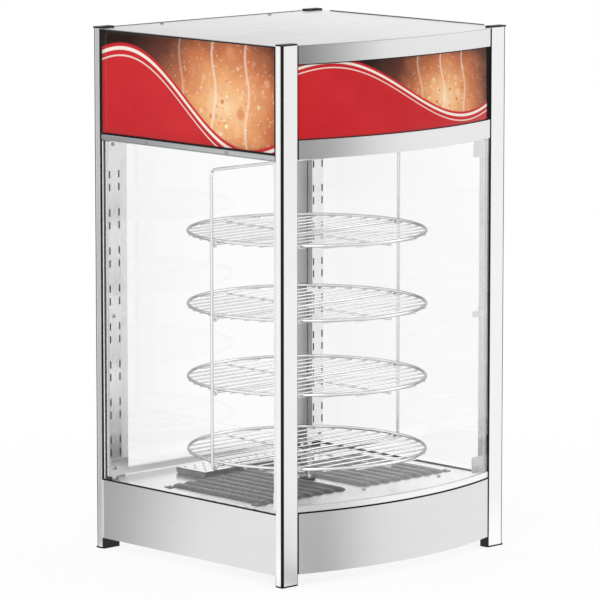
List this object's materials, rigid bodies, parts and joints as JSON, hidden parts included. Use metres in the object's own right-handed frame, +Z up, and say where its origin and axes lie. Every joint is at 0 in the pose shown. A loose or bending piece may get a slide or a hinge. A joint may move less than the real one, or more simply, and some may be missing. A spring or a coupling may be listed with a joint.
{
  "type": "rotating display case",
  "caption": "Countertop heated glass display case with a bowed front, a sign header, a rear door and round wire racks on a turning carrier.",
  "frame": {"origin": "middle of the bounding box, on the plane that the feet stand on", "axes": "+Z up, -Y towards the bowed front, +X to the right of someone who faces the front"},
  "size_m": [0.585, 0.584, 1.003],
  "materials": {
    "post_aluminium": "satin anodised",
    "black_plastic": "moulded",
    "black_seal": "soft strip",
    "panel_steel": "satin",
    "band_steel": "satin",
    "deck_steel": "satin",
    "rail_aluminium": "satin anodised",
    "sign_acrylic": "printed and glossy",
    "clear_glass": "clear",
    "white_paint": "white enamel",
    "lamp_glass": "frosted",
    "pilaster_steel": "satin",
    "screw_steel": "bright",
    "chrome_wire": "bright plated",
    "spindle_steel": "turned",
    "bush_plastic": "moulded",
    "cover_paint": "heat-resistant black",
    "heater_steel": "oxidised sheath",
    "motor_paint": "grey",
    "tray_steel": "satin",
    "door_aluminium": "satin anodised",
    "handle_chrome": "bright plated",
    "pivot_steel": "satin",
    "control_black": "moulded",
    "rocker_green": "moulded",
    "rocker_red": "moulded"
  },
  "bodies": {
    "cabinet": {"post_front_left": "post_aluminium", "post_front_right": "post_aluminium", "post_rear_left": "post_aluminium", "post_rear_right": "post_aluminium", "post_caps": "black_plastic", "post_feet": "black_plastic", "corner_strips": "black_seal", "glass_seals": "black_seal", "sign_stop": "black_seal", "base_front": "panel_steel", "base_left": "panel_steel", "base_right": "panel_steel", "base_rear": "panel_steel", "bottom_plate": "panel_steel", "header_rear": "panel_steel", "top_cover": "panel_steel", "header_band_upper": "band_steel", "header_band_lower": "band_steel", "deck": "deck_steel", "front_glass_rail": "rail_aluminium", "header_rail_left": "rail_aluminium", "header_rail_right": "rail_aluminium", "sign_front": "sign_acrylic", "sign_left": "sign_acrylic", "sign_right": "sign_acrylic", "glass_front": "clear_glass", "glass_left": "clear_glass", "glass_right": "clear_glass", "ceiling_panel": "white_paint", "lamp_holder": "white_paint", "lamp_tube": "lamp_glass", "pilasters_front": "pilaster_steel", "pilasters_rear": "pilaster_steel", "pilaster_brackets": "pilaster_steel", "screws": "screw_steel", "spindle_bush": "bush_plastic", "heater_cover_left": "cover_paint", "heater_cover_right": "cover_paint", "heaters": "heater_steel", "gear_motor": "motor_paint", "water_pan": "tray_steel", "door_pivots": "pivot_steel", "door_catch": "control_black", "switch_housings": "control_black", "thermostat": "control_black", "power_inlet": "control_black"},
    "carousel": {"drive_spindle": "spindle_steel", "carrier_hub": "spindle_steel", "carrier_frame": "chrome_wire", "rack_1": "chrome_wire", "rack_2": "chrome_wire", "rack_3": "chrome_wire", "rack_4": "chrome_wire"},
    "door": {"door_frame": "door_aluminium", "door_glass": "clear_glass", "door_handle": "handle_chrome"},
    "light_switch": {"switch_light": "rocker_green"},
    "heat_switch": {"switch_heat": "rocker_red"},
    "knob": {"thermostat_knob": "control_black"},
    "tray_lid": {"water_pan_lid": "tray_steel"}
  },
  "joints": [
    {"name": "carrier_turn", "type": "hinge", "parent": "cabinet", "child": "carousel", "pos_m": [0, -0.0105, 0.14], "axis": [0, 0, 1], "continuous": true},
    {"name": "door_swing", "type": "hinge", "parent": "cabinet", "child": "door", "pos_m": [-0.244, 0.2615, 0.46], "axis": [0, 0, 1], "range_deg": [0, 105]},
    {"name": "light_switch_rock", "type": "hinge", "parent": "cabinet", "child": "light_switch", "pos_m": [0.105, 0.266, 0.078], "axis": [1, 0, 0], "range_deg": [-20, 0]},
    {"name": "heat_switch_rock", "type": "hinge", "parent": "cabinet", "child": "heat_switch", "pos_m": [0.15, 0.266, 0.078], "axis": [1, 0, 0], "range_deg": [-20, 0]},
    {"name": "thermostat_turn", "type": "hinge", "parent": "cabinet", "child": "knob", "pos_m": [0.04, 0.2745, 0.078], "axis": [0, 1, 0], "range_deg": [0, 270]},
    {"name": "tray_lid_lift", "type": "slide", "parent": "cabinet", "child": "tray_lid", "axis": [0, 0, 1], "range_m": [0, 0.025]}
  ]
}
